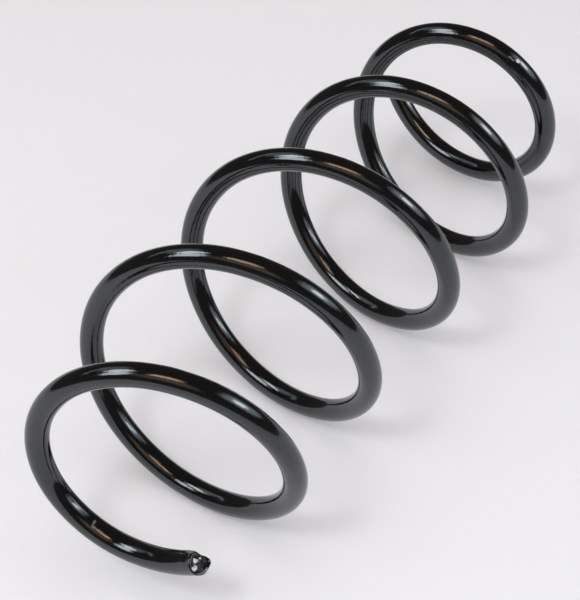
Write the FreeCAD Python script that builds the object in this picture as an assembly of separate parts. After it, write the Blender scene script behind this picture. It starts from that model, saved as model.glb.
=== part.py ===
"""A bare automotive coil spring, lying on its side: one round steel bar, wound right-handed.

Units are millimetres. X runs along the spring from its lower end to its upper end, and +Z is up.
The origin is the middle of the bounding box, on the floor that the spring lies on.

The spring is one bar. Each half coil of it is a solid of its own, so that the coils can close up
along X. The bar is cut where it passes the top and the bottom of the spring, on planes that hold the
X direction, so two neighbours meet face to face and slide past each other without overlapping.
"""
import FreeCAD
import Part
import math
import os
from FreeCAD import Vector

# Driving dimensions -------------------------------------------------------------------------
BAR_DIAMETER = 13.0  # coated bar
TURNS = 5.31  # tip to tip
START_ANGLE = -51.5  # degrees from the lowest point of the first coil to the lower tip

# How the coils change from the lower tip to the upper tip. Each row holds the Bezier values of
# one smooth curve along the bar: its first and last value are the ones at the two tips.
COIL_RADIUS = (38.5, 95.5, 59.5, 75.5, 63.5, 69.0, 51.5)  # axis of the coil to axis of the bar
COIL_PITCH = (39.0, 97.0, 97.0, 105.5, 55.5, 68.5)  # advance along X in one turn
AXIS_SIDE = (-0.5, 7.0, 30.5, -49.5, 12.5)  # sideways bow of the coil centres, along Y
AXIS_RISE = (1.0, 0.0, 14.0, -6.0, -9.0)  # upward bow of the coil centres, along Z
LEAN_RISE = (0.073, -0.013, 0.032, -0.115)  # slope of the coil plane in X, for a step down
LEAN_SIDE = (-0.165, -0.125, 0.275, 0.03)  # slope of the coil plane in X, for a step along Y

# The first short run of bar is left straighter than the coil, so the lower tip stands out from it.
TIP_OPENING = 8.5  # how far the lower tip stands outside the coil's own curve
TIP_OPENING_TURNS = 0.2  # the run over which it comes back to the curve

# The bar is cut where it passes the top of the spring, and every half turn from there.
FIRST_CUT_ANGLE = 180.0
ACTIVE_COILS = 4
HALF_NAMES = ("right", "left")  # seen from the lower end: down the right side, then up the left

# How finely the bar's curve is built: each step is two tangent arcs.
STEPS_PER_TURN = 12
STUB_ANGLE = 12.0  # degrees of spare bar beyond each cut, removed by the cut
CUTTER_SIDE = 2.0 * BAR_DIAMETER


def bezier(values, share):
    """The Bezier curve of these values, at share 0 to 1 of its length."""
    last = len(values) - 1
    return sum(
        math.comb(last, i) * value * share**i * (1.0 - share) ** (last - i)
        for i, value in enumerate(values)
    )


def running_total(values, length):
    """The Bezier values of the integral of a Bezier curve over a run of this length."""
    step = length / len(values)
    totals = [0.0]
    for value in values:
        totals.append(totals[-1] + value * step)
    return totals


ADVANCE = running_total(COIL_PITCH, TURNS)


def coil_radius(turn):
    """From the axis of the coil to the middle of the bar."""
    opening = TIP_OPENING * max(0.0, 1.0 - turn / TIP_OPENING_TURNS) ** 3
    return bezier(COIL_RADIUS, turn / TURNS) + opening


def bar_point(turn):
    """The middle of the bar, this many turns after the lower tip, before the origin is set."""
    share = turn / TURNS
    angle = math.radians(START_ANGLE + 360.0 * turn)
    radius = coil_radius(turn)
    side = radius * math.sin(angle)
    down = radius * math.cos(angle)
    lean = bezier(LEAN_RISE, share) * down + bezier(LEAN_SIDE, share) * side
    return Vector(
        bezier(ADVANCE, share) + lean,
        bezier(AXIS_SIDE, share) + side,
        bezier(AXIS_RISE, share) - down,
    )


def bar_direction(turn):
    """The unit vector along the bar."""
    step = 1e-4
    return (bar_point(turn + step) - bar_point(turn - step)).normalize()


def floor_origin():
    """The middle of the bar's box in X and Y, at its lowest point in Z."""
    lows = [math.inf] * 3
    highs = [-math.inf] * 3
    samples = int(TURNS * 720)
    for i in range(samples + 1):
        turn = TURNS * i / samples
        point = bar_point(turn)
        along = bar_direction(turn)
        for k in range(3):
            reach = BAR_DIAMETER / 2.0 * math.sqrt(max(0.0, 1.0 - along[k] ** 2))
            lows[k] = min(lows[k], point[k] - reach)
            highs[k] = max(highs[k], point[k] + reach)
    return Vector((lows[0] + highs[0]) / 2.0, (lows[1] + highs[1]) / 2.0, lows[2])


ORIGIN = floor_origin()


def placed_point(turn):
    """The middle of the bar in the part's own frame."""
    return bar_point(turn) - ORIGIN


def meeting_point(start, start_along, end, end_along):
    """Where the two arcs of a step meet, so that they share one direction there."""
    chord = end - start
    both = start_along + end_along
    bend = 2.0 * (1.0 - start_along.dot(end_along))
    across = chord.dot(both)
    reach = (math.sqrt(across**2 + bend * chord.dot(chord)) - across) / bend
    return (start + end + (start_along - end_along) * reach) * 0.5


def arc_skin(start, along, end):
    """The round skin of the bar on one arc, and the bar's direction at the arc's end."""
    chord = end - start
    inward = (chord - along * chord.dot(along)).normalize()
    rise = chord.dot(inward)
    centre = start + inward * (chord.dot(chord) / (2.0 * rise))
    axis = along.cross(inward)
    angle = 2.0 * math.degrees(math.atan2(rise, chord.dot(along)))
    circle = Part.Circle(start, along, BAR_DIAMETER / 2.0).toShape()
    skin = circle.revolve(centre, axis, angle)
    return skin, FreeCAD.Rotation(axis, angle).multVec(along)


def end_disc(point, along):
    """The flat face that closes the bar at one end."""
    circle = Part.Circle(point, along, BAR_DIAMETER / 2.0).toShape()
    return Part.Face(Part.Wire([circle]))


def bar_between(first, last):
    """The round bar from one turn to another, with ends square to the bar."""
    count = math.ceil((last - first) * STEPS_PER_TURN)
    turns = [first + (last - first) * i / count for i in range(count + 1)]
    skins = []
    along = bar_direction(first)
    for near, far in zip(turns[:-1], turns[1:]):
        start = placed_point(near)
        end = placed_point(far)
        middle = meeting_point(start, along, end, bar_direction(far))
        skin, along = arc_skin(start, along, middle)
        skins.append(skin)
        skin, along = arc_skin(middle, along, end)
        skins.append(skin)
    faces = [face for skin in skins for face in skin.Faces]
    faces.append(end_disc(placed_point(first), bar_direction(first)))
    faces.append(end_disc(placed_point(last), along))
    shell = Part.makeShell(faces)
    shell.sewShape()
    bar = Part.makeSolid(shell)
    bar.fixTolerance(1e-4)
    return bar


def cutter(turn, side):
    """A block that takes the spare bar away: side is -1 before the cut and +1 after it."""
    angle = math.radians(START_ANGLE + 360.0 * turn)
    along = Vector(0.0, math.cos(angle), math.sin(angle))
    outward = Vector(0.0, math.sin(angle), -math.cos(angle))
    half = CUTTER_SIDE / 2.0
    block = Part.makeBox(CUTTER_SIDE, CUTTER_SIDE, CUTTER_SIDE, Vector(-half, -half, 0.0))
    turned = FreeCAD.Rotation(Vector(1.0, 0.0, 0.0), outward, along * side, "ZXY")
    block.Placement = FreeCAD.Placement(placed_point(turn), turned)
    return block


def section_names():
    """The sections of the bar, from the lower tip to the upper tip."""
    halves = [f"active_coil_{i + 1}_{half}" for i in range(ACTIVE_COILS) for half in HALF_NAMES]
    return ["lower_end_coil"] + halves + ["upper_end_coil"]


def cut_turns():
    """The turns at which the bar is cut, lowest first."""
    first = (FIRST_CUT_ANGLE - START_ANGLE) / 360.0
    return [first + i / 2.0 for i in range(len(section_names()) - 1)]


def section(index):
    """One section of the bar, between two cuts or between a cut and a tip."""
    cuts = cut_turns()
    stub = STUB_ANGLE / 360.0
    has_start_cut = index > 0
    has_end_cut = index < len(cuts)
    first = cuts[index - 1] - stub if has_start_cut else 0.0
    last = cuts[index] + stub if has_end_cut else TURNS
    bar = bar_between(first, last)
    if has_start_cut:
        bar = bar.cut(cutter(cuts[index - 1], -1.0))
    if has_end_cut:
        bar = bar.cut(cutter(cuts[index], 1.0))
    return bar.Solids[0]


def main():
    os.makedirs("parts", exist_ok=True)
    for index, name in enumerate(section_names()):
        section(index).exportStep(os.path.join("parts", name + ".step"))


main()
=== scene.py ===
"""The looks of the coil spring: one coated bar as a continuous mesh, its two sheared tips, and the stage.

Everything is in metres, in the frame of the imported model. The bar's curve is the CAD bar's own curve,
worked out again here from the same few dimensions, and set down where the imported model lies.
"""
import math

import bpy
import numpy as np
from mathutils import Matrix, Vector, noise


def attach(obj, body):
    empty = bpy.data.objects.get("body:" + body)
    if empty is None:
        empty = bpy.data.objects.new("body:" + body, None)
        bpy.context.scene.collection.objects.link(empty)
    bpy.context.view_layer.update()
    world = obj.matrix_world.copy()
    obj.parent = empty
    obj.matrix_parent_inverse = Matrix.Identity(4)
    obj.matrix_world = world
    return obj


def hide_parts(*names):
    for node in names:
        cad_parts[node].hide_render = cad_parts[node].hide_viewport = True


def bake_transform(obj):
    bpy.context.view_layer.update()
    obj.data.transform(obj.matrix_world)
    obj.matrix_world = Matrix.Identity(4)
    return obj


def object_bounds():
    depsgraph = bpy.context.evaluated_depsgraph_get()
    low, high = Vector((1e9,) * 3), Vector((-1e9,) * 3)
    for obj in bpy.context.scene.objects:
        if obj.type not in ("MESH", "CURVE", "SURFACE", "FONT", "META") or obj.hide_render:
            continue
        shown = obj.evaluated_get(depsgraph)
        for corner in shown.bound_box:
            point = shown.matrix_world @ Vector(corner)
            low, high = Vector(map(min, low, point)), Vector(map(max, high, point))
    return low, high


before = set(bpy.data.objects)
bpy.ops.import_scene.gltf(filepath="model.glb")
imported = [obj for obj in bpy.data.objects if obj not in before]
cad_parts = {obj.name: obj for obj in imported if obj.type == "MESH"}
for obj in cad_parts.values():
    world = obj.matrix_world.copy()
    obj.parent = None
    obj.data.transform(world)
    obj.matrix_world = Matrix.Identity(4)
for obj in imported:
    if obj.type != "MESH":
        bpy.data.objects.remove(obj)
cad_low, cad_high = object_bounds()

# Driving dimensions of the bar, in metres and turns ------------------------------------------
BAR_RADIUS = 0.0065
TURNS = 5.31
START_ANGLE = math.radians(-51.5)
COIL_RADIUS = (0.0385, 0.0955, 0.0595, 0.0755, 0.0635, 0.0690, 0.0515)
COIL_PITCH = (0.0390, 0.0970, 0.0970, 0.1055, 0.0555, 0.0685)
AXIS_SIDE = (-0.0005, 0.0070, 0.0305, -0.0495, 0.0125)
AXIS_RISE = (0.0010, 0.0000, 0.0140, -0.0060, -0.0090)
LEAN_RISE = (0.073, -0.013, 0.032, -0.115)
LEAN_SIDE = (-0.165, -0.125, 0.275, 0.030)
TIP_OPENING = 0.0085  # how far the lower tip stands outside the coil's curve
TIP_OPENING_TURNS = 0.2  # how far along the bar it opens

# How finely the bar is meshed.
RINGS_PER_TURN = 200
POINTS_PER_RING = 64
SLOPE_STEP = 1e-5  # turns to either side for the bar's direction

# The coating on the bar.
INSIDE_CAD = 0.00006  # how far the visual bar stays inside the CAD bar
# Slow unevenness: height, waves along the bar in radians per metre, and waves round it.
COAT_WAVES = ((0.000035, 61.0, 2.0), (0.000025, 143.0, -1.0))
COAT_WAVE_FADE = 0.01  # the unevenness fades out this near a tip

# What the shear did to the bar's side by each tip, and how far from the cut it reaches.
BURR_ANGLE = 5.35  # where the burr stands, round the bar from its outer side
ENTRY_ANGLE = 4.25  # where the shear blade went in and left a rounded slope
SLOPE_DEPTH, SLOPE_REACH = 0.00080, 0.009
NIP_DEPTH, NIP_REACH = 0.00110, 0.0035
GROOVE_DEPTH, GROOVE_PLACE, GROOVE_WIDTH = 0.00030, 0.0026, 0.0005
FLARE_HEIGHT, FLARE_REACH = 0.00070, 0.0016

# The edge of a tip.
LIP_REACH = 0.006  # how far from the cut the bar is drawn along with its edge
LIP_BURR = 0.0016
LIP_ENTRY = 0.0016
LIP_WAVE = 0.00018
RIM_ROUND = 0.0007  # radius of the rounded coating edge round the cut
ROLL_ANGLES = (30.0, 60.0, 90.0)  # where the rolled-in edge has its rings
ROLL_INSET = 0.6  # how much of RIM_ROUND times the sine of its angle a ring steps inward
RIM_TUCK = 1.2  # how far the last ring is tucked in, as a share of RIM_ROUND
RIM_TUCK_LENGTH = 0.8  # the tuck along the bar, as a share of the tuck inward

# The sheared face of a tip.
FACE_RINGS = 26
FACE_POINTS = 96
FACE_MARGIN = 0.55  # how far inside the bar's skin the face ends, as a share of RIM_ROUND
FACE_SUNK = 0.00025  # how far the face lies inside the cut
FACE_RELIEF = 0.0014  # depth of the torn steel
TORN_SHARE, RIDGE_SHARE = 0.9, 1.3  # of the relief
# Bare, bright steel on a tip: place outward, place across and radius, as shares of the tip's radius.
BARE_SPOTS = ((-0.34, 0.12, 0.30), (0.02, 0.60, 0.34), (-0.14, -0.55, 0.16))
BARE_RAGGED = 0.9  # how ragged the edges of the bare spots are
BARE_LOW, BARE_RISE = 0.10, 0.20  # where a spot starts to be bare, and the rise to fully bare
# Patterns over a tip's radius, in cells: how many outward and across.
TORN_CELLS = 1.9
RIDGE_CELLS = (2.6, 1.5)
BARE_CELLS = 4.0

# The camera, seen from the spring's lower end and its right.
CAMERA_AZIMUTH = math.radians(29.668)  # of the view direction, from +X towards +Y
CAMERA_DROP = math.radians(44.644)  # of the view direction, below level
CAMERA_DISTANCE = 1.0067
CAMERA_AIM = Vector((-0.02248, 0.00969, 0.05508))
CAMERA_LENS = 106.143
SENSOR = 36.0

FLOOR_RADIUS = 2.2
FLOOR_POINTS = 128

# The lights that fall on the tabletop: name, azimuth and elevation, the angles that it covers wide and
# high, radiance, colour, distance.
LIGHT_AIM = Vector((0.0, 0.0, 0.07))
LIGHTS = (
    ("soft_key", 170.0, 56.0, 12.0, 12.0, 14.0, (0.90, 1.0, 1.0), 2.0),
    ("left_window", 140.0, 46.0, 32.0, 30.0, 0.90, (0.94, 0.98, 1.0), 2.0),
    ("right_window", -66.0, 34.0, 40.0, 16.0, 2.4, (0.92, 0.97, 1.0), 2.0),
    ("even_fill", 170.0, 74.0, 60.0, 60.0, 1.85, (1.0, 0.925, 0.918), 1.9),
)
SHADOWLESS = "even_fill"  # the light that casts no shadow

# What the gloss of the bar mirrors: two cool windows, one warm lamp, and what they leave on the walls.
# Azimuth and elevation, half angles wide and high, tilt, strength, colour and softness.
COOL = (0.86, 0.94, 1.0)
WHITE = (0.96, 0.99, 1.0)
WARM = (1.0, 0.66, 0.44)
ROOM_PATCHES = (
    (-66.0, 34.0, 35.0, 19.0, -14.0, 1.9, COOL, 1.0),
    (-68.0, 35.0, 16.0, 6.5, -8.0, 7.0, WHITE, 0.8),
    (127.0, 53.0, 10.0, 13.0, 20.0, 6.5, WHITE, 0.8),
    (150.0, 39.0, 11.0, 15.0, 20.0, 6.0, WHITE, 0.9),
    (100.0, 50.0, 22.0, 14.0, 0.0, 0.9, COOL, 1.0),
    (100.0, 34.0, 20.0, 2.0, -26.0, 1.6, COOL, 0.8),
    (-166.0, 61.0, 15.0, 6.5, 10.0, 5.0, WARM, 0.8),
    (-160.0, 70.0, 14.0, 3.5, 10.0, 3.0, WARM, 0.8),
    (176.0, 65.0, 4.0, 6.0, 0.0, 1.6, WARM, 0.8),
    (-165.0, 42.0, 26.0, 18.0, 0.0, 0.70, WARM, 1.0),
)
PATCH_SQUARENESS = 2.6  # 2 is an ellipse, and more is nearer a rectangle
WALLS = (0.110, 0.100, 0.095, 1.0)
CEILING = (0.075, 0.064, 0.056, 1.0)
CEILING_RISE = 0.5  # the sine of the elevation where the walls have turned into the ceiling
PALE_SKY = (0.385, 0.400, 0.412, 1.0)  # what lights the tabletop
BACKDROP = (0.74, 0.735, 0.745, 1.0)  # what the camera sees past the tabletop


# The bar's curve ------------------------------------------------------------------------------
def bezier(values, share):
    """The Bezier curve of these values, at shares 0 to 1 of its length."""
    last = len(values) - 1
    return sum(
        math.comb(last, i) * value * share**i * (1.0 - share) ** (last - i)
        for i, value in enumerate(values)
    )


def coil_radius(turns):
    """From the axis of the coil to the middle of the bar."""
    opening = TIP_OPENING * np.maximum(0.0, 1.0 - turns / TIP_OPENING_TURNS) ** 3
    return bezier(COIL_RADIUS, turns / TURNS) + opening


def bar_curve(turns):
    """Points on the bar's middle line, before the bar is set down in the frame."""
    share = turns / TURNS
    advance = np.concatenate(([0.0], np.cumsum(COIL_PITCH))) * TURNS / len(COIL_PITCH)
    angle = START_ANGLE + 2.0 * math.pi * turns
    side = coil_radius(turns) * np.sin(angle)
    down = coil_radius(turns) * np.cos(angle)
    lean = bezier(LEAN_RISE, share) * down + bezier(LEAN_SIDE, share) * side
    return np.stack(
        [bezier(advance, share) + lean, bezier(AXIS_SIDE, share) + side, bezier(AXIS_RISE, share) - down],
        axis=1,
    )


def unit(vectors):
    """The rows of an array, each scaled to length 1."""
    return vectors / np.linalg.norm(vectors, axis=1)[:, None]


def bar_rings():
    """The bar's middle line and its three directions at each ring: along, outward and across."""
    turns = np.linspace(0.0, TURNS, round(TURNS * RINGS_PER_TURN) + 1)
    middle = bar_curve(turns)
    along = unit(bar_curve(turns + SLOPE_STEP) - bar_curve(turns - SLOPE_STEP))
    reach = BAR_RADIUS * np.sqrt(1.0 - along**2)
    low = (middle - reach).min(axis=0)
    high = (middle + reach).max(axis=0)
    box_middle = (np.array(cad_low) + np.array(cad_high)) / 2.0
    middle = middle + box_middle - (low + high) / 2.0
    angle = START_ANGLE + 2.0 * math.pi * turns
    radial = np.stack([0.0 * angle, np.sin(angle), -np.cos(angle)], axis=1)
    outward = unit(radial - along * np.sum(radial * along, axis=1)[:, None])
    return turns, middle, along, outward, np.cross(along, outward)


turns, middle, along, outward, across = bar_rings()
arc = np.concatenate(([0.0], np.cumsum(np.linalg.norm(np.diff(middle, axis=0), axis=1))))
bar_length = float(arc[-1])


def closing_share():
    """How far each ring follows the upper tip as the spring closes: a coil gives as its radius cubed."""
    give = coil_radius(turns) ** 3
    total = np.concatenate(([0.0], np.cumsum((give[1:] + give[:-1]) / 2.0)))
    return total / total[-1]


# Small marks on the bar: turn, angle round the bar, half length, half width and strength. The first two
# are a chip in the coating, the two at turn 0.23 are a painted reflection (a pale L-shaped highlight),
# and the last three are scuffs.
MARKS = (
    (4.731, 0.38, 0.0013, 0.0012, 0.85),
    (4.722, 0.62, 0.0028, 0.0004, 0.30),
    # painted reflection: a pale L-shaped highlight on the near coil, laid in as a mark of the pale marks
    # colour
    (0.2365, 3.02, 0.0008, 0.0019, 0.16),
    (0.2325, 2.66, 0.0015, 0.0008, 0.14),
    (3.02, 3.40, 0.0030, 0.0005, 0.25),
    (2.11, 0.70, 0.0050, 0.0003, 0.20),
    (1.35, 5.10, 0.0050, 0.0004, 0.20),
)
MARK_WANDER = 0.0016  # how far the edge of a mark is moved about
MARK_RAGGED = 900.0  # cells per metre of the pattern that moves it
MARK_EDGE = (0.75, 1.15)  # where a mark starts to fade and where it ends, as shares of its size

# Colours and patterns; a pattern's size is in cells per metre.
COAT_BLACK = ((0.0018, 0.0019, 0.0022, 1.0), (0.0036, 0.0034, 0.0033, 1.0))
COAT_TINT_SIZE = 60.0
# the pale colour of the chip and scuffs, also used for the painted L-shaped reflection on the near coil
COAT_MARK_AND_REFLECTION = (0.62, 0.60, 0.60, 1.0)
DUST = (0.10, 0.10, 0.105, 1.0)
DUST_SIZE = 2600.0
DUST_RANGE = (0.735, 0.80)
DUST_COVER = 0.35
SMEAR_SIZE = 180.0
SMEAR_RANGE = (0.30, 0.75)
COAT_ROUGHNESS = (0.060, 0.110)
SCUFF_ROUGHNESS = 0.35
PEEL_SIZE, PEEL_STRENGTH, PEEL_HEIGHT = 420.0, 0.16, 0.0003
GRAIN_SIZE, GRAIN_STRENGTH, GRAIN_HEIGHT = 1900.0, 0.10, 0.0001
COAT_IOR = 1.72
COAT_SPECULAR = (0.88, 0.945, 1.0, 1.0)
STEEL = ((0.60, 0.61, 0.63, 1.0), (0.85, 0.87, 0.90, 1.0))
STEEL_COAT = ((0.004, 0.004, 0.005, 1.0), (0.016, 0.016, 0.017, 1.0))
STEEL_GRAIN_SIZE = 1500.0
STEEL_METALLIC = 0.35
STEEL_ROUGHNESS = (0.14, 0.34)
STEEL_PIT_SIZE, STEEL_PIT_STRENGTH, STEEL_PIT_HEIGHT = 900.0, 0.45, 0.0003
FLOOR_WASH = ((0.760, 0.738, 0.742, 1.0), (0.778, 0.762, 0.772, 1.0))
# painted light: the tabletop's colour at the front, brighter and cooler, as if more light fell there
FLOOR_FRONT_PAINTED_LIGHT = (0.785, 0.775, 0.800, 1.0)
FLOOR_PAINTED_LIGHT_RANGE = (0.35, -0.45)  # painted light: in y, from the back of the tabletop to its front, over which the colour brightens and cools
FLOOR_SPECK = (0.70, 0.695, 0.71, 1.0)
FLOOR_SPECK_COVER = 0.10
FLOOR_BROAD_SIZE = 3.0
FLOOR_FINE_SIZE = 240.0
FLOOR_ROUGHNESS = (0.50, 0.60)
NOISE_ROUGHNESS = 0.55


# Materials --------------------------------------------------------------------------------------
def new_material(name):
    """An empty node material with its shader, and short helpers to add and join nodes."""
    material = bpy.data.materials.new(name)
    material.use_nodes = True
    tree = material.node_tree
    shader = tree.nodes["Principled BSDF"]

    def node(kind, **settings):
        made = tree.nodes.new(kind)
        for key, value in settings.items():
            if key.startswith("in_"):
                made.inputs[key[3:].replace("_", " ")].default_value = value
            else:
                setattr(made, key, value)
        return made

    return material, shader, node, tree.links.new


def ramp(node, link, source, low, high, low_value=0.0, high_value=1.0):
    """A smooth step of a value from low_value to high_value, between low and high."""
    made = node("ShaderNodeMapRange", interpolation_type="SMOOTHSTEP")
    made.inputs["From Min"].default_value = low
    made.inputs["From Max"].default_value = high
    made.inputs["To Min"].default_value = low_value
    made.inputs["To Max"].default_value = high_value
    link(source, made.inputs["Value"])
    return made.outputs["Result"]


def mix_colour(node, link, factor, first, second):
    """A colour mix; each colour is a value or another node's output."""
    made = node("ShaderNodeMix", data_type="RGBA")
    link(factor, made.inputs["Factor"])
    for socket, colour in ((made.inputs[6], first), (made.inputs[7], second)):
        if isinstance(colour, tuple):
            socket.default_value = colour
        else:
            link(colour, socket)
    return made.outputs[2]


def noise_of(node, link, where, scale, detail=3.0):
    """A noise pattern of this many cells per metre, in the coordinates given."""
    made = node("ShaderNodeTexNoise", in_Scale=scale, in_Detail=detail, in_Roughness=NOISE_ROUGHNESS)
    link(where, made.inputs["Vector"])
    return made.outputs["Fac"]


def marks_of(node, link, where):
    """How much of the coating is marked, from 0 to 1, over the straightened bar, with ragged edges; two
    of the marks are a painted reflection.
    """
    ragged = node("ShaderNodeTexNoise", in_Scale=MARK_RAGGED, in_Detail=2.0)
    link(where, ragged.inputs["Vector"])
    wander = node("ShaderNodeVectorMath", operation="MULTIPLY_ADD")
    link(ragged.outputs["Color"], wander.inputs[0])
    wander.inputs[1].default_value = (MARK_WANDER, MARK_WANDER, MARK_WANDER)
    link(where, wander.inputs[2])
    total = None
    for turn, angle, half_length, half_width, strength in MARKS:
        away = node("ShaderNodeVectorMath", operation="SUBTRACT")
        link(wander.outputs["Vector"], away.inputs[0])
        place = (
            float(np.interp(turn, turns, arc)),
            BAR_RADIUS * math.cos(angle),
            BAR_RADIUS * math.sin(angle),
        )
        away.inputs[1].default_value = tuple(value + MARK_WANDER / 2.0 for value in place)
        share = node("ShaderNodeVectorMath", operation="DIVIDE")
        link(away.outputs["Vector"], share.inputs[0])
        share.inputs[1].default_value = (half_length, half_width, half_width)
        reach = node("ShaderNodeVectorMath", operation="LENGTH")
        link(share.outputs["Vector"], reach.inputs[0])
        spot = ramp(node, link, reach.outputs["Value"], *MARK_EDGE, strength, 0.0)
        if total is None:
            total = spot
        else:
            most = node("ShaderNodeMath", operation="MAXIMUM")
            link(total, most.inputs[0])
            link(spot, most.inputs[1])
            total = most.outputs[0]
    return total


def coating_material():
    """Gloss black powder coat: orange peel, a little dust, a few scuffs, rubbed spots and a painted
    reflection.
    """
    material, shader, node, link = new_material("coated_bar")
    where = node("ShaderNodeAttribute", attribute_name="straight_bar").outputs["Vector"]
    # the marks mask: a chip and scuffs in the coating, and a painted reflection on the near coil
    scuff_and_reflection = marks_of(node, link, where)
    tint = noise_of(node, link, where, COAT_TINT_SIZE)
    black = mix_colour(node, link, tint, *COAT_BLACK)
    dust = ramp(node, link, noise_of(node, link, where, DUST_SIZE, 2.0), *DUST_RANGE, 0.0, DUST_COVER)
    dusty = mix_colour(node, link, dust, black, DUST)
    # painted reflection and real marks: the pale marks colour laid over the black coat
    marked = mix_colour(node, link, scuff_and_reflection, dusty, COAT_MARK_AND_REFLECTION)
    link(marked, shader.inputs["Base Color"])
    smear = noise_of(node, link, where, SMEAR_SIZE, 4.0)
    gloss = ramp(node, link, smear, *SMEAR_RANGE, *COAT_ROUGHNESS)
    rubbed = node("ShaderNodeMath", operation="MULTIPLY_ADD")
    link(scuff_and_reflection, rubbed.inputs[0])
    rubbed.inputs[1].default_value = SCUFF_ROUGHNESS
    link(gloss, rubbed.inputs[2])
    link(rubbed.outputs[0], shader.inputs["Roughness"])
    peel = noise_of(node, link, where, PEEL_SIZE, 2.0)
    grain = noise_of(node, link, where, GRAIN_SIZE, 2.0)
    first = node("ShaderNodeBump", in_Strength=PEEL_STRENGTH, in_Distance=PEEL_HEIGHT)
    link(peel, first.inputs["Height"])
    second = node("ShaderNodeBump", in_Strength=GRAIN_STRENGTH, in_Distance=GRAIN_HEIGHT)
    link(grain, second.inputs["Height"])
    link(first.outputs["Normal"], second.inputs["Normal"])
    link(second.outputs["Normal"], shader.inputs["Normal"])
    shader.inputs["IOR"].default_value = COAT_IOR
    shader.inputs["Specular Tint"].default_value = COAT_SPECULAR
    return material


def torn_steel_material():
    """The sheared tip: torn steel, black where the coating ran over it and bright on the high spots."""
    material, shader, node, link = new_material("sheared_steel")
    where = node("ShaderNodeTexCoord").outputs["Object"]
    bright = node("ShaderNodeAttribute", attribute_name="bare").outputs["Fac"]
    grain = noise_of(node, link, where, STEEL_GRAIN_SIZE, 5.0)
    steel = mix_colour(node, link, grain, *STEEL)
    coat = mix_colour(node, link, grain, *STEEL_COAT)
    link(mix_colour(node, link, bright, coat, steel), shader.inputs["Base Color"])
    link(ramp(node, link, bright, 0.4, 0.6, 0.0, STEEL_METALLIC), shader.inputs["Metallic"])
    link(ramp(node, link, grain, 0.3, 0.7, *STEEL_ROUGHNESS), shader.inputs["Roughness"])
    bump = node("ShaderNodeBump", in_Strength=STEEL_PIT_STRENGTH, in_Distance=STEEL_PIT_HEIGHT)
    link(noise_of(node, link, where, STEEL_PIT_SIZE, 5.0), bump.inputs["Height"])
    link(bump.outputs["Normal"], shader.inputs["Normal"])
    return material


def floor_material():
    """A plain pale tabletop with the faintest mottling, and painted light: brighter and cooler towards
    the front.
    """
    material, shader, node, link = new_material("pale_floor")
    where = node("ShaderNodeTexCoord").outputs["Object"]
    broad = noise_of(node, link, where, FLOOR_BROAD_SIZE)
    fine = noise_of(node, link, where, FLOOR_FINE_SIZE)
    wash = mix_colour(node, link, broad, *FLOOR_WASH)
    speck = ramp(node, link, fine, 0.25, 0.75, 0.0, FLOOR_SPECK_COVER)
    split = node("ShaderNodeSeparateXYZ")
    link(where, split.inputs[0])
    # painted light: the floor colour brightens and cools towards the front
    painted_light_toward_front = ramp(node, link, split.outputs["Y"], *FLOOR_PAINTED_LIGHT_RANGE)
    wash_with_painted_light = mix_colour(node, link, painted_light_toward_front, wash, FLOOR_FRONT_PAINTED_LIGHT)
    link(mix_colour(node, link, speck, wash_with_painted_light, FLOOR_SPECK), shader.inputs["Base Color"])
    link(ramp(node, link, fine, 0.3, 0.7, *FLOOR_ROUGHNESS), shader.inputs["Roughness"])
    return material


# The bar ------------------------------------------------------------------------------------------
def tip_nearness(distance, reach):
    """1 at a tip of the bar, falling smoothly to 0 at this reach from it."""
    share = np.clip(1.0 - distance / reach, 0.0, 1.0)
    return share * share * (3.0 - 2.0 * share)


def coated_radius(arc_grid, around):
    """The bar's radius all over: the coating's unevenness, and the squeeze of the shear at each tip."""
    wave = sum(
        height * np.sin(arc_grid * lengthwise + roundwise * around)
        for height, lengthwise, roundwise in COAT_WAVES
    )
    entry = 0.5 + 0.5 * np.cos(around - ENTRY_ANGLE)
    burr = np.maximum(0.0, np.cos(around - BURR_ANGLE))
    to_lower = arc_grid
    to_upper = bar_length - arc_grid
    squeeze = 0.0
    for distance in (to_lower, to_upper):
        slope = tip_nearness(distance, SLOPE_REACH) * entry**3
        nip = tip_nearness(distance, NIP_REACH) * entry**6
        groove = GROOVE_DEPTH * np.exp(-(((distance - GROOVE_PLACE) / GROOVE_WIDTH) ** 2))
        flare = FLARE_HEIGHT * tip_nearness(distance, FLARE_REACH) * burr**8
        squeeze = squeeze + SLOPE_DEPTH * slope + NIP_DEPTH * nip + groove - flare
    fade = 1.0 - tip_nearness(np.minimum(to_lower, to_upper), COAT_WAVE_FADE)
    return BAR_RADIUS - INSIDE_CAD + wave * fade - squeeze


def shear_lip(around):
    """How far the edge of a tip stands proud: a burr, a rounded-off shear entry and a slight wave."""
    burr = np.maximum(0.0, np.cos(around - BURR_ANGLE)) ** 10
    entry = np.maximum(0.0, np.cos(around - ENTRY_ANGLE)) ** 2
    return LIP_BURR * burr - LIP_ENTRY * entry + LIP_WAVE * np.sin(3.0 * around + 0.7)


def mesh_object(name, points, faces, material):
    """A smooth-shaded mesh object."""
    mesh = bpy.data.meshes.new(name)
    mesh.from_pydata([tuple(p) for p in points], [], faces)
    mesh.validate()
    mesh.polygons.foreach_set("use_smooth", [True] * len(mesh.polygons))
    mesh.materials.append(material)
    made = bpy.data.objects.new(name, mesh)
    bpy.context.scene.collection.objects.link(made)
    return made


def ring_faces(rings, count):
    """The quads that join rings of count points each."""
    faces = []
    for low in range(0, (rings - 1) * count, count):
        high = low + count
        for i in range(count):
            after = (i + 1) % count
            faces.append((low + i, low + after, high + after, high + i))
    return faces


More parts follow.
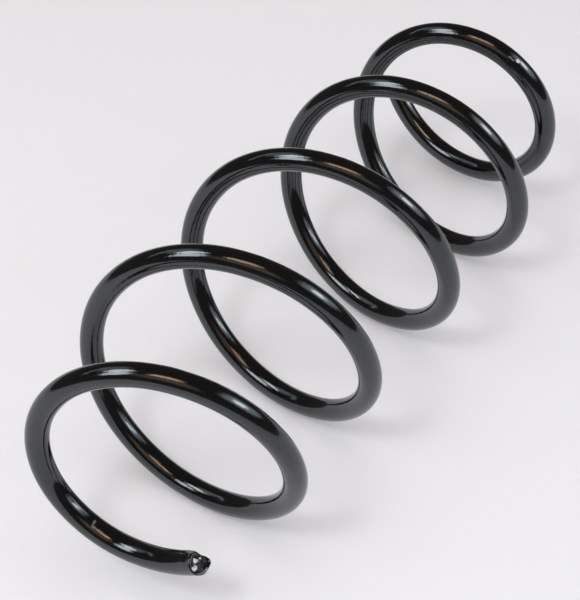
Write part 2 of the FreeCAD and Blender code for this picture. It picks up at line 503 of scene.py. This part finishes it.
def build_bar(material):
    """The whole coated bar as one skin, with its edges rolled in at the two tips."""
    around = np.linspace(0.0, 2.0 * math.pi, POINTS_PER_RING, endpoint=False)
    arc_grid, around_grid = np.meshgrid(arc, around, indexing="ij")
    radius = coated_radius(arc_grid, around_grid)
    spoke = np.cos(around_grid)[..., None] * outward[:, None, :]
    spoke = spoke + np.sin(around_grid)[..., None] * across[:, None, :]
    points = middle[:, None, :] + radius[..., None] * spoke
    share = np.repeat(closing_share()[:, None], POINTS_PER_RING, axis=1)
    straight = np.stack(
        [arc_grid, BAR_RADIUS * np.cos(around_grid), BAR_RADIUS * np.sin(around_grid)],
        axis=2,
    )
    for side, sign in ((arc_grid, -1.0), (bar_length - arc_grid, 1.0)):
        lip = tip_nearness(side, LIP_REACH) * shear_lip(around_grid)
        points = points + along[:, None, :] * (sign * lip)[..., None]
    layers = [(points, share, straight)]
    for end, sign in ((0, 1.0), (-1, -1.0)):
        rolled = []
        for angle in ROLL_ANGLES:
            back = RIM_ROUND * (1.0 - math.cos(math.radians(angle)))
            inset = RIM_ROUND * math.sin(math.radians(angle))
            tuck = RIM_ROUND * RIM_TUCK if angle == ROLL_ANGLES[-1] else 0.0
            inward = spoke[end] * (back + inset * ROLL_INSET + tuck)
            rolled.append(points[end] - inward + along[end] * sign * tuck * RIM_TUCK_LENGTH)
        rolled = np.array(rolled)
        same = len(rolled)
        layer = (
            rolled,
            np.repeat(share[end][None], same, axis=0),
            np.repeat(straight[end][None], same, axis=0),
        )
        if sign > 0:
            layers.insert(0, tuple(a[::-1] for a in layer))
        else:
            layers.append(layer)
    points, share, straight = (np.concatenate([layer[k] for layer in layers]) for k in range(3))
    faces = ring_faces(len(points), POINTS_PER_RING)
    bar = mesh_object("coated_spring_bar", points.reshape(-1, 3), faces, material)
    bar.data.attributes.new("straight_bar", "FLOAT_VECTOR", "POINT").data.foreach_set(
        "vector", straight.astype(np.float32).ravel()
    )
    return bar, share.astype(np.float32).ravel()


def build_tip(name, end, sign, seed, material):
    """One sheared face: torn, stepped steel inside the rim of the coating, with a burr on one side."""
    radii = np.linspace(0.0, 1.0, FACE_RINGS)[1:]
    angles = np.linspace(0.0, 2.0 * math.pi, FACE_POINTS, endpoint=False)
    points = []
    bare = []
    cut = np.array([0.0 if end == 0 else bar_length])
    outer = coated_radius(cut, angles) - RIM_ROUND * FACE_MARGIN

    def surface(share, angle, limit):
        """A point of the face, and how bare the steel is there."""
        y = share * math.cos(angle)
        z = share * math.sin(angle)
        torn = noise.fractal(Vector((y * TORN_CELLS, z * TORN_CELLS, seed)), 0.8, 2.1, 5)
        ridge = abs(noise.noise(Vector((y * RIDGE_CELLS[0] + 7.0, z * RIDGE_CELLS[1], seed + 3.0))))
        edge = min(1.0, (1.0 - share) * 6.0)
        relief = FACE_RELIEF * (TORN_SHARE * torn - RIDGE_SHARE * ridge) * edge
        height = relief + float(shear_lip(angle)) * share**1.5 - FACE_SUNK
        nearest = max(1.0 - math.hypot(y - out, z - side) / reach for out, side, reach in BARE_SPOTS)
        blot = noise.noise(Vector((y * BARE_CELLS - 4.0, z * BARE_CELLS, seed + 9.0)))
        spot = nearest + BARE_RAGGED * blot
        inside = (y * outward[end] + z * across[end]) * limit
        return middle[end] + inside - along[end] * sign * height, spot

    centre, spot = surface(0.0, 0.0, BAR_RADIUS)
    points.append(centre)
    bare.append(spot)
    for share in radii:
        for angle, limit in zip(angles, outer):
            place, spot = surface(float(share), float(angle), float(limit))
            points.append(place)
            bare.append(spot)
    faces = [(0, 1 + (i + 1) % FACE_POINTS, 1 + i) for i in range(FACE_POINTS)]
    faces += [tuple(1 + k for k in face[::-1]) for face in ring_faces(len(radii), FACE_POINTS)]
    if sign < 0:
        faces = [face[::-1] for face in faces]
    tip = mesh_object(name, points, faces, material)
    shine = np.clip((np.array(bare) - BARE_LOW) / BARE_RISE, 0.0, 1.0)
    tip.data.attributes.new("bare", "FLOAT", "POINT").data.foreach_set("value", shine.astype(np.float32))
    return tip


# Floor, lights, camera -----------------------------------------------------------------------------
def build_floor():
    """A round pale tabletop under the spring, a little way out to every side."""
    steps = [2.0 * math.pi * i / FLOOR_POINTS for i in range(FLOOR_POINTS)]
    rim = [(FLOOR_RADIUS * math.cos(step), FLOOR_RADIUS * math.sin(step), 0.0) for step in steps]
    mesh = bpy.data.meshes.new("floor")
    mesh.from_pydata(rim, [], [tuple(range(FLOOR_POINTS))])
    mesh.materials.append(floor_material())
    floor = bpy.data.objects.new("floor", mesh)
    bpy.context.scene.collection.objects.link(floor)


def direction(azimuth, elevation):
    """The unit vector of a direction, azimuth from +X towards +Y."""
    a = math.radians(azimuth)
    e = math.radians(elevation)
    return Vector((math.cos(a) * math.cos(e), math.sin(a) * math.cos(e), math.sin(e)))


def add_light(name, azimuth, elevation, wide, high, radiance, colour, distance):
    """A soft rectangular light in this direction, which leaves no highlight."""
    lamp = bpy.data.lights.new(name, "AREA")
    lamp.shape = "RECTANGLE"
    lamp.size = 2.0 * distance * math.tan(math.radians(wide / 2.0))
    lamp.size_y = 2.0 * distance * math.tan(math.radians(high / 2.0))
    lamp.energy = radiance * math.pi * lamp.size * lamp.size_y
    lamp.color = colour
    made = bpy.data.objects.new(name, lamp)
    bpy.context.scene.collection.objects.link(made)
    toward = direction(azimuth, elevation)
    made.location = LIGHT_AIM + toward * distance
    made.rotation_mode = "QUATERNION"
    made.rotation_quaternion = (-toward).to_track_quat("-Z", "Y")
    made.visible_camera = False
    made.visible_glossy = False
    lamp.use_shadow = name != SHADOWLESS


def build_lights():
    """Soft light for the tabletop, mostly from the left and behind; the even fill casts no shadow."""
    for light in LIGHTS:
        add_light(*light)


class Room:
    """The room that the gloss of the bar mirrors, painted in the world by direction."""

    def __init__(self):
        world = bpy.data.worlds.new("room")
        world.use_nodes = True
        bpy.context.scene.world = world
        self.tree = world.node_tree
        self.background = self.tree.nodes["Background"]
        self.ray = self.tree.nodes.new("ShaderNodeTexCoord").outputs["Generated"]
        self.light = None

    def join(self, source, socket):
        """Link one node's output to another's input."""
        self.tree.links.new(source, socket)

    def work_out(self, operation, first, second=None):
        """A sum on one or two values, each a number or another node's output."""
        made = self.tree.nodes.new("ShaderNodeMath")
        made.operation = operation
        for socket, value in zip(made.inputs, (first, second)):
            if isinstance(value, (int, float)):
                socket.default_value = value
            elif value is not None:
                self.join(value, socket)
        return made.outputs[0]

    def along(self, vector):
        """How far the ray goes along this vector."""
        made = self.tree.nodes.new("ShaderNodeVectorMath")
        made.operation = "DOT_PRODUCT"
        self.join(self.ray, made.inputs[0])
        made.inputs[1].default_value = vector
        return made.outputs["Value"]

    def patch(self, azimuth, elevation, wide, high, tilt, strength, colour, soft):
        """A bright patch: half angles wide and high, turned by tilt; soft 0 is crisp, 1 a glow."""
        toward = direction(azimuth, elevation)
        flat = Vector((-toward.y, toward.x, 0.0)).normalized()
        up = toward.cross(flat)
        turn = math.radians(tilt)
        right = flat * math.cos(turn) + up * math.sin(turn)
        rise = up * math.cos(turn) - flat * math.sin(turn)
        across_share = self.along(right / math.sin(math.radians(wide)))
        up_share = self.along(rise / math.sin(math.radians(high)))
        reach = self.work_out(
            "ADD",
            self.work_out("POWER", self.work_out("ABSOLUTE", across_share), PATCH_SQUARENESS),
            self.work_out("POWER", self.work_out("ABSOLUTE", up_share), PATCH_SQUARENESS),
        )
        edge = self.tree.nodes.new("ShaderNodeMapRange")
        edge.interpolation_type = "SMOOTHSTEP"
        edge.inputs["From Min"].default_value = 1.0
        edge.inputs["From Max"].default_value = 1.0 - soft
        self.join(reach, edge.inputs["Value"])
        ahead = self.work_out("GREATER_THAN", self.along(toward), 0.0)
        shown = self.work_out("MULTIPLY", edge.outputs["Result"], ahead)
        amount = self.work_out("MULTIPLY", shown, strength)
        tinted = self.tree.nodes.new("ShaderNodeVectorMath")
        tinted.operation = "SCALE"
        tinted.inputs[0].default_value = colour
        self.join(amount, tinted.inputs["Scale"])
        self.add(tinted.outputs["Vector"])

    def add(self, colour):
        """Add this light to what the room has so far."""
        if self.light is None:
            self.light = colour
            return
        total = self.tree.nodes.new("ShaderNodeVectorMath")
        total.operation = "ADD"
        self.join(self.light, total.inputs[0])
        self.join(colour, total.inputs[1])
        self.light = total.outputs["Vector"]

    def ceiling(self):
        """Dim walls and a dimmer ceiling."""
        rise = self.tree.nodes.new("ShaderNodeMapRange")
        rise.inputs["From Min"].default_value = 0.0
        rise.inputs["From Max"].default_value = CEILING_RISE
        self.join(self.along(Vector((0.0, 0.0, 1.0))), rise.inputs["Value"])
        walls = self.tree.nodes.new("ShaderNodeMix")
        walls.data_type = "RGBA"
        walls.inputs[6].default_value = WALLS
        walls.inputs[7].default_value = CEILING
        self.join(rise.outputs["Result"], walls.inputs["Factor"])
        self.add(walls.outputs[2])

    def finish(self):
        """The gloss sees the room, the camera sees a pale backdrop, and a pale sky lights the rest."""
        path = self.tree.nodes.new("ShaderNodeLightPath")
        mixed = self.tree.nodes.new("ShaderNodeMix")
        mixed.data_type = "RGBA"
        mixed.inputs[6].default_value = PALE_SKY
        self.join(path.outputs["Is Glossy Ray"], mixed.inputs["Factor"])
        self.join(self.light, mixed.inputs[7])
        seen = self.tree.nodes.new("ShaderNodeMix")
        seen.data_type = "RGBA"
        seen.inputs[7].default_value = BACKDROP
        self.join(path.outputs["Is Camera Ray"], seen.inputs["Factor"])
        self.join(mixed.outputs[2], seen.inputs[6])
        self.join(seen.outputs[2], self.background.inputs["Color"])


def build_world():
    """The room with its bright patches, set up as the scene's world."""
    room = Room()
    room.ceiling()
    for patch in ROOM_PATCHES:
        room.patch(*patch)
    room.finish()


def build_camera():
    """The camera, above the spring's lower end and its right side."""
    a = CAMERA_AZIMUTH
    look = Vector(
        (math.cos(a) * math.cos(CAMERA_DROP), math.sin(a) * math.cos(CAMERA_DROP), -math.sin(CAMERA_DROP))
    )
    data = bpy.data.cameras.new("camera")
    data.lens = CAMERA_LENS
    data.sensor_width = SENSOR
    camera = bpy.data.objects.new("camera", data)
    bpy.context.scene.collection.objects.link(camera)
    camera.location = CAMERA_AIM - look * CAMERA_DISTANCE
    camera.rotation_mode = "QUATERNION"
    camera.rotation_quaternion = look.to_track_quat("-Z", "Y")
    bpy.context.scene.camera = camera


# The scene ---------------------------------------------------------------------------------------------
bar, share = build_bar(coating_material())
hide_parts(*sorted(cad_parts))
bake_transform(bar)

torn_steel = torn_steel_material()
for tip_name, tip_end, tip_sign, tip_seed, tip_body in (
    ("lower_tip_face", 0, 1.0, 2.0, "lower_end"),
    ("upper_tip_face", -1, -1.0, 11.0, "upper_end"),
):
    tip = build_tip(tip_name, tip_end, tip_sign, tip_seed, torn_steel)
    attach(tip, tip_body)

build_floor()
build_lights()
build_world()
build_camera()
bpy.context.scene.view_settings.view_transform = "Standard"
